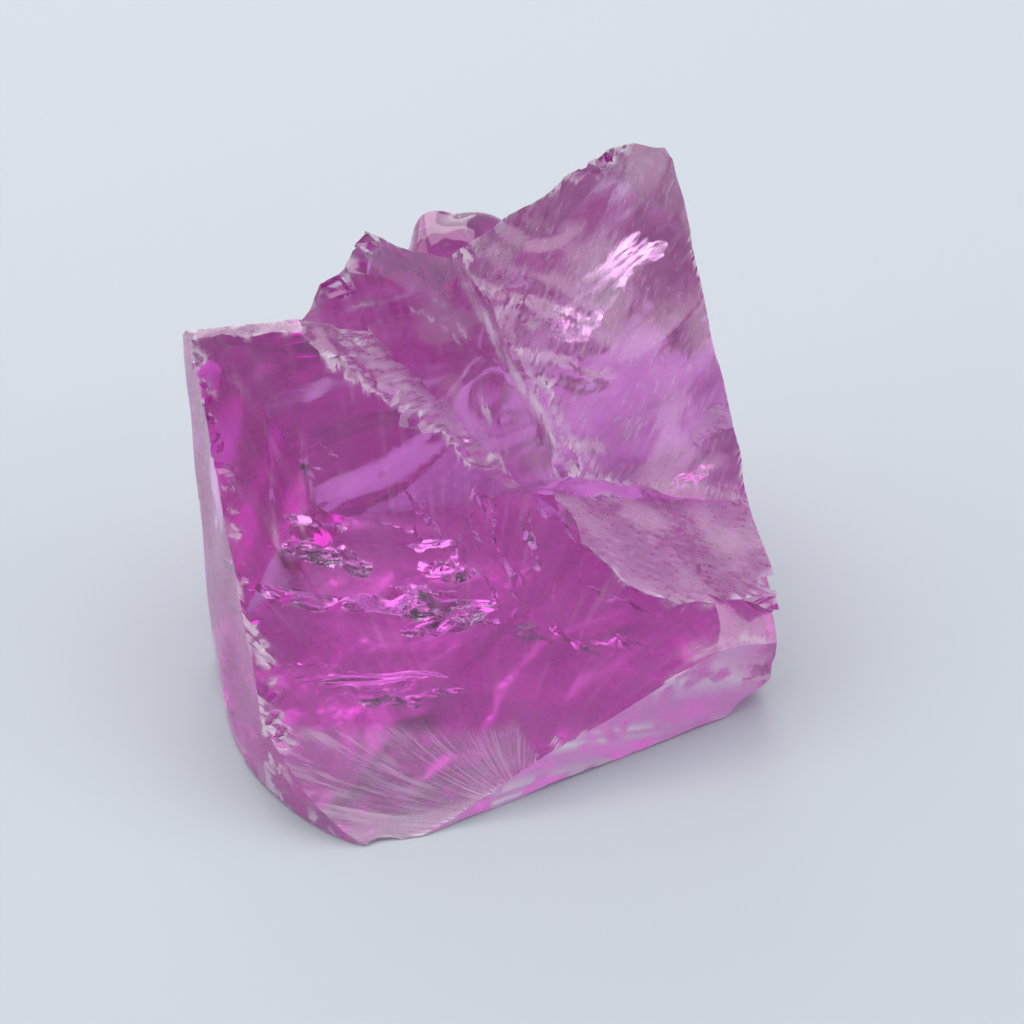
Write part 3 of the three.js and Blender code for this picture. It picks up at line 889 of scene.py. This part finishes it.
# Worn ribs where the crack changed level: points along each, how wide and how white.
RIBS = [
    (
        [
            (-2.3, 6.7, 21.4), (-1.7, 6.1, 19.9), (-0.6, 4.8, 18.4),
            (0.4, 3.6, 17), (1.5, 2.4, 15.9), (2.4, 1.3, 14.5),
        ],
        0.26, 1.0,
    ),
    (
        [
            (-0.8, 5.8, 20.5), (0.2, 4.4, 18.7), (1.3, 3.1, 17),
            (2.5, 2.2, 15.5), (3.6, 1.4, 14.1), (4.6, 0.7, 13),
        ],
        0.15, 0.7,
    ),
    ([(3.6, 0.4, 13.1), (6.7, 0.5, 12.1), (9.4, 1.5, 11.6), (12.1, 1.6, 10.6)], 0.2, 0.6),
    ([(-8.6, 7.6, 17), (-7.7, 6.9, 16.3), (-5.3, 5, 14.8), (-3.8, 4.4, 14), (-1.2, 3.4, 12.8)], 0.9, 0.42),
    ([(-9.4, 5, 17.2), (-5.6, 3.6, 15.2), (-1.8, 1.9, 13), (1.2, 0.2, 11.2)], 0.15, 0.7),
    ([(-12.6, 0.4, 13.6), (-12.2, -3.2, 9.9)], 0.12, 0.35),
    ([(-11, 0.4, 13.4), (-10.9, -1.6, 11.2)], 0.14, 0.5),
    ([(-4.1, 7.5, 19.6), (-3.5, 7.1, 19.3)], 0.22, 0.8),
    ([(-3, 6.7, 18.5), (-2.4, 6.2, 17.9)], 0.2, 0.8),
    ([(-8, 9.5, 19.4), (-7.1, 9.1, 19), (-6.2, 8.5, 19.3)], 0.14, 0.7),
    ([(8, -2.8, 7.2), (9.1, -3, 7.4), (10.5, -2.7, 6.9)], 0.2, 0.9),
    ([(12.2, -3.5, 5.2), (12.9, -3.3, 4.8), (13.6, -3.2, 4.6)], 0.3, 1.0),
    ([(9.4, -4.8, 5.2), (11.5, -4.4, 5.5), (13.9, -3.8, 5.6)], 0.5, 0.5),
]


def near_ribs(places):
    """How white the worn ribs leave each place."""
    white = np.zeros(len(places))
    for points, width, strength in RIBS:
        points = np.array(points, float)
        for a, b in zip(points[:-1], points[1:]):
            along = b - a
            t = np.clip((places - a) @ along / (along @ along), 0, 1)
            away = np.linalg.norm(places - a - t[:, None] * along, axis=1)
            away = away * (1 + 0.4 * grain(t * 4, away, 0.4, 47))
            white = np.maximum(white, strength * np.exp(-((away / width) ** 2)))
    return white


def face_of_each(mesh):
    """For each polygon, the number of its face, or ON_NO_FACE on a chip, the lump, nose or low side."""
    centres = np.empty(len(mesh.polygons) * 3)
    mesh.polygons.foreach_get("center", centres)
    centres = centres.reshape(-1, 3)
    off = np.stack([np.abs(face.height(centres)) for face in FACES])
    nearest = off.argmin(0)
    nearest[off.min(0) > OFF_A_FACE] = ON_NO_FACE
    return nearest


def buried(flaws, places, faces):
    """The flaws, each drawn in about its middle until it lies well under the surface, or left out.

    Every second point of a flaw is tested.
    """
    surface = BVHTree.FromPolygons([tuple(p) for p in places], faces)
    up = Vector((0, 0, 1))

    def under(place):
        place, crossings = Vector(place), 0
        clear = surface.find_nearest(place)[3] > CRACK_COVER
        hit = surface.ray_cast(place, up)[0]
        while clear and hit:
            crossings += 1
            hit = surface.ray_cast(hit + 0.001 * up, up)[0]
        return clear and crossings % 2 == 1

    kept = []
    for flaw_places, flaw_faces in flaws:
        middle = flaw_places.mean(0)
        for _ in range(CRACK_TRIES):
            if all(under(p) for p in flaw_places[::2]):
                kept.append((flaw_places, flaw_faces))
                break
            flaw_places = middle + CRACK_SHRINK * (flaw_places - middle)
    return kept


def with_flaws(outside, flaws):
    """The outside and the closed hollows inside it as one mesh, with its frost and wear painted on."""
    count = len(outside.vertices)
    places = np.empty(count * 3)
    outside.vertices.foreach_get("co", places)
    places = places.reshape(-1, 3)
    faces = [list(p.vertices) for p in outside.polygons]
    region = face_of_each(outside)
    outer = len(faces)
    groups = [places]
    start = count
    for flaw_places, flaw_faces in buried(flaws, places, faces):
        groups.append(flaw_places)
        faces += [[start + k for k in f] for f in flaw_faces]
        start += len(flaw_places)
    places = np.concatenate(groups)
    mesh = bpy.data.meshes.new("zircon_crystal")
    mesh.from_pydata([tuple(p) for p in places * MM], [], faces)
    mesh.shade_smooth()
    mesh.set_sharp_from_angle(angle=math.radians(WORN_ANGLE))

    corner_vertex = np.empty(len(mesh.loops), int)
    mesh.loops.foreach_get("vertex_index", corner_vertex)
    totals = np.empty(len(mesh.polygons), int)
    mesh.polygons.foreach_get("loop_total", totals)
    corner_face = np.repeat(np.concatenate([region, np.full(len(faces) - outer, IN_CRACK)]), totals)
    corner_x, corner_y, corner_z = places[corner_vertex].T
    low_wall = (corner_y < LOW_WALL_BEFORE) & (corner_x > LOW_WALL_RIGHT_OF)
    lump = corner_z > LUMP_ABOVE
    frost = np.where(low_wall, LOW_WALL_FROST, np.where(lump, LUMP_FROST, CHIP_FROST))
    hackle_and_sheen = np.zeros(len(corner_vertex))
    strike = BROAD * places[corner_vertex]
    for number, face in enumerate(FACES):
        here = corner_face == number
        u, v, _ = face.local(places[corner_vertex[here]])
        uneven = 0.35 * grain(u, v, 2.2, 43 + number) + 0.15 * grain(u, v, 0.9, 44)
        frost[here] = face.frost(u, v) * (1 + uneven)
        hackle_and_sheen[here] = face.hackle_and_sheen(u, v)
        along, across = face.lines(u, v)
        strike[here] = np.stack([along, across, 0 * u + 7.3 * number], -1)
    frost[corner_face == IN_CRACK] = CRACK_FROST
    # The upper cracks: a little frost, and white streaks drawn out along CRACK_GRAIN, a painted sheen for
    # their silvery highlight
    silvery = (corner_face == IN_CRACK) & (corner_z > SILVERY_ABOVE)
    frost[silvery], hackle_and_sheen[silvery] = SILVERY_FROST, UPPER_CRACK_PAINTED_SHEEN
    inside = places[corner_vertex[silvery]]
    strike[silvery] = 1.5 * (inside - 0.85 * (inside @ CRACK_GRAIN)[:, None] * CRACK_GRAIN)

    sharp = np.empty(len(mesh.edges), bool)
    mesh.attributes["sharp_edge"].data.foreach_get("value", sharp)
    ends = np.empty(len(mesh.edges) * 2, int)
    mesh.edges.foreach_get("vertices", ends)
    worn = np.unique(ends.reshape(-1, 2)[sharp])
    worn = worn[worn < count]
    tree = kdtree.KDTree(len(worn))
    for k, vertex in enumerate(worn):
        tree.insert(places[vertex], k)
    tree.balance()
    away = np.array([tree.find(p)[2] for p in places[:count]] + [9.0] * (len(places) - count))
    x, y, z = places.T
    chance = 0.5 + 0.5 * grain(x + 0.7 * z, y - 0.6 * z, 0.8, 41)
    nick = np.clip(1.2 - away / (0.04 + 0.34 * chance**3), 0, 1) * np.clip(2.2 * chance - 0.9, 0, 1)
    rib = np.where(np.arange(len(places)) < count, near_ribs(places), 0)
    nick, rib = nick[corner_vertex], rib[corner_vertex]
    for name, values in (("frost", frost), ("nick", nick), ("hackle_and_sheen", hackle_and_sheen), ("rib", rib)):
        layer = mesh.attributes.new(name, "FLOAT", "CORNER")
        layer.data.foreach_set("value", values.astype(np.float32))
    layer = mesh.attributes.new("strike", "FLOAT_VECTOR", "CORNER")
    layer.data.foreach_set("vector", strike.astype(np.float32).ravel())
    return mesh


before = set(bpy.data.objects)
outside = stone()
crystal_mesh = with_flaws(outside.data, [*VEILS, *SPECKS])
for other in set(bpy.data.objects) - before:
    bpy.data.objects.remove(other)
crystal = bpy.data.objects.new("zircon_crystal", crystal_mesh)
bpy.context.scene.collection.objects.link(crystal)
crystal_mesh.materials.append(crystal_material())

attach(crystal, "root")
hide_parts("zircon")

# ---- Floor, light and camera ---------------------------------------------------------------------

FLOOR = -0.00005  # just clear of the crystal's resting face
FLOOR_REACH = 0.4
floor_mesh = bpy.data.meshes.new("floor")
corners = [(x * FLOOR_REACH, y * FLOOR_REACH, FLOOR) for x, y in ((-1, -1), (1, -1), (1, 1), (-1, 1))]
floor_mesh.from_pydata(corners, [], [(0, 1, 2, 3)])
floor = bpy.data.objects.new("floor", floor_mesh)
bpy.context.scene.collection.objects.link(floor)
pale = bpy.data.materials.new("floor")
pale.use_nodes = True
pale.node_tree.nodes["Principled BSDF"].inputs["Base Color"].default_value = (0.52, 0.56, 0.61, 1)
pale.node_tree.nodes["Principled BSDF"].inputs["Roughness"].default_value = 0.7
floor_mesh.materials.append(pale)

world = bpy.data.worlds.new("studio")
bpy.context.scene.world = world
world.use_nodes = True
sky = world.node_tree.nodes
sky["Background"].inputs["Color"].default_value = (0.93, 0.94, 1.0, 1)
around = sky.new("ShaderNodeTexCoord")
height = sky.new("ShaderNodeSeparateXYZ")
dimmer = sky.new("ShaderNodeMapRange")  # pale at eye level, dimmer overhead, where the lamps are
dimmer.inputs["From Max"].default_value = 0.6
dimmer.inputs["To Min"].default_value, dimmer.inputs["To Max"].default_value = 0.8, 0.27
world.node_tree.links.new(around.outputs["Generated"], height.inputs[0])
world.node_tree.links.new(height.outputs["Z"], dimmer.inputs["Value"])
world.node_tree.links.new(dimmer.outputs["Result"], sky["Background"].inputs["Strength"])


def softbox(name, heading, tilt, away, size, power):
    """A large soft lamp that looks at the crystal from a compass heading and a tilt above the horizon."""
    light = bpy.data.lights.new(name, "AREA")
    light.shape = "RECTANGLE"
    light.size, light.size_y = size
    light.energy = power
    lamp = bpy.data.objects.new(name, light)
    bpy.context.scene.collection.objects.link(lamp)
    lamp.location = Vector(direction(heading, tilt)) * away
    lamp.rotation_euler = (-lamp.location).to_track_quat("-Z", "Y").to_euler()


softbox("overhead", 90, 78, 0.6, (0.9, 0.8), 3.1)
softbox("window", 120, 35, 0.7, (1.0, 0.75), 3.2)
softbox("left_side", 190, 28, 0.7, (0.55, 0.5), 0.75)
softbox("right_side", -5, 30, 0.7, (0.55, 0.5), 1.05)

ELEVATION, DISTANCE = math.radians(40), 0.150
target = Vector((0, 0, 0.011))
camera = bpy.data.objects.new("camera", bpy.data.cameras.new("camera"))
bpy.context.scene.collection.objects.link(camera)
camera.data.lens = 100
camera.location = target + DISTANCE * Vector((0, -math.cos(ELEVATION), math.sin(ELEVATION)))
camera.rotation_euler = (target - camera.location).to_track_quat("-Z", "Y").to_euler()
bpy.context.scene.camera = camera
bpy.context.scene.view_settings.view_transform = "Standard"
light_paths = bpy.context.scene.cycles
light_paths.max_bounces = light_paths.transmission_bounces = light_paths.glossy_bounces = 8
light_paths.diffuse_bounces = 2
light_paths.use_light_tree = False  # a few plain lamps, chosen evenly
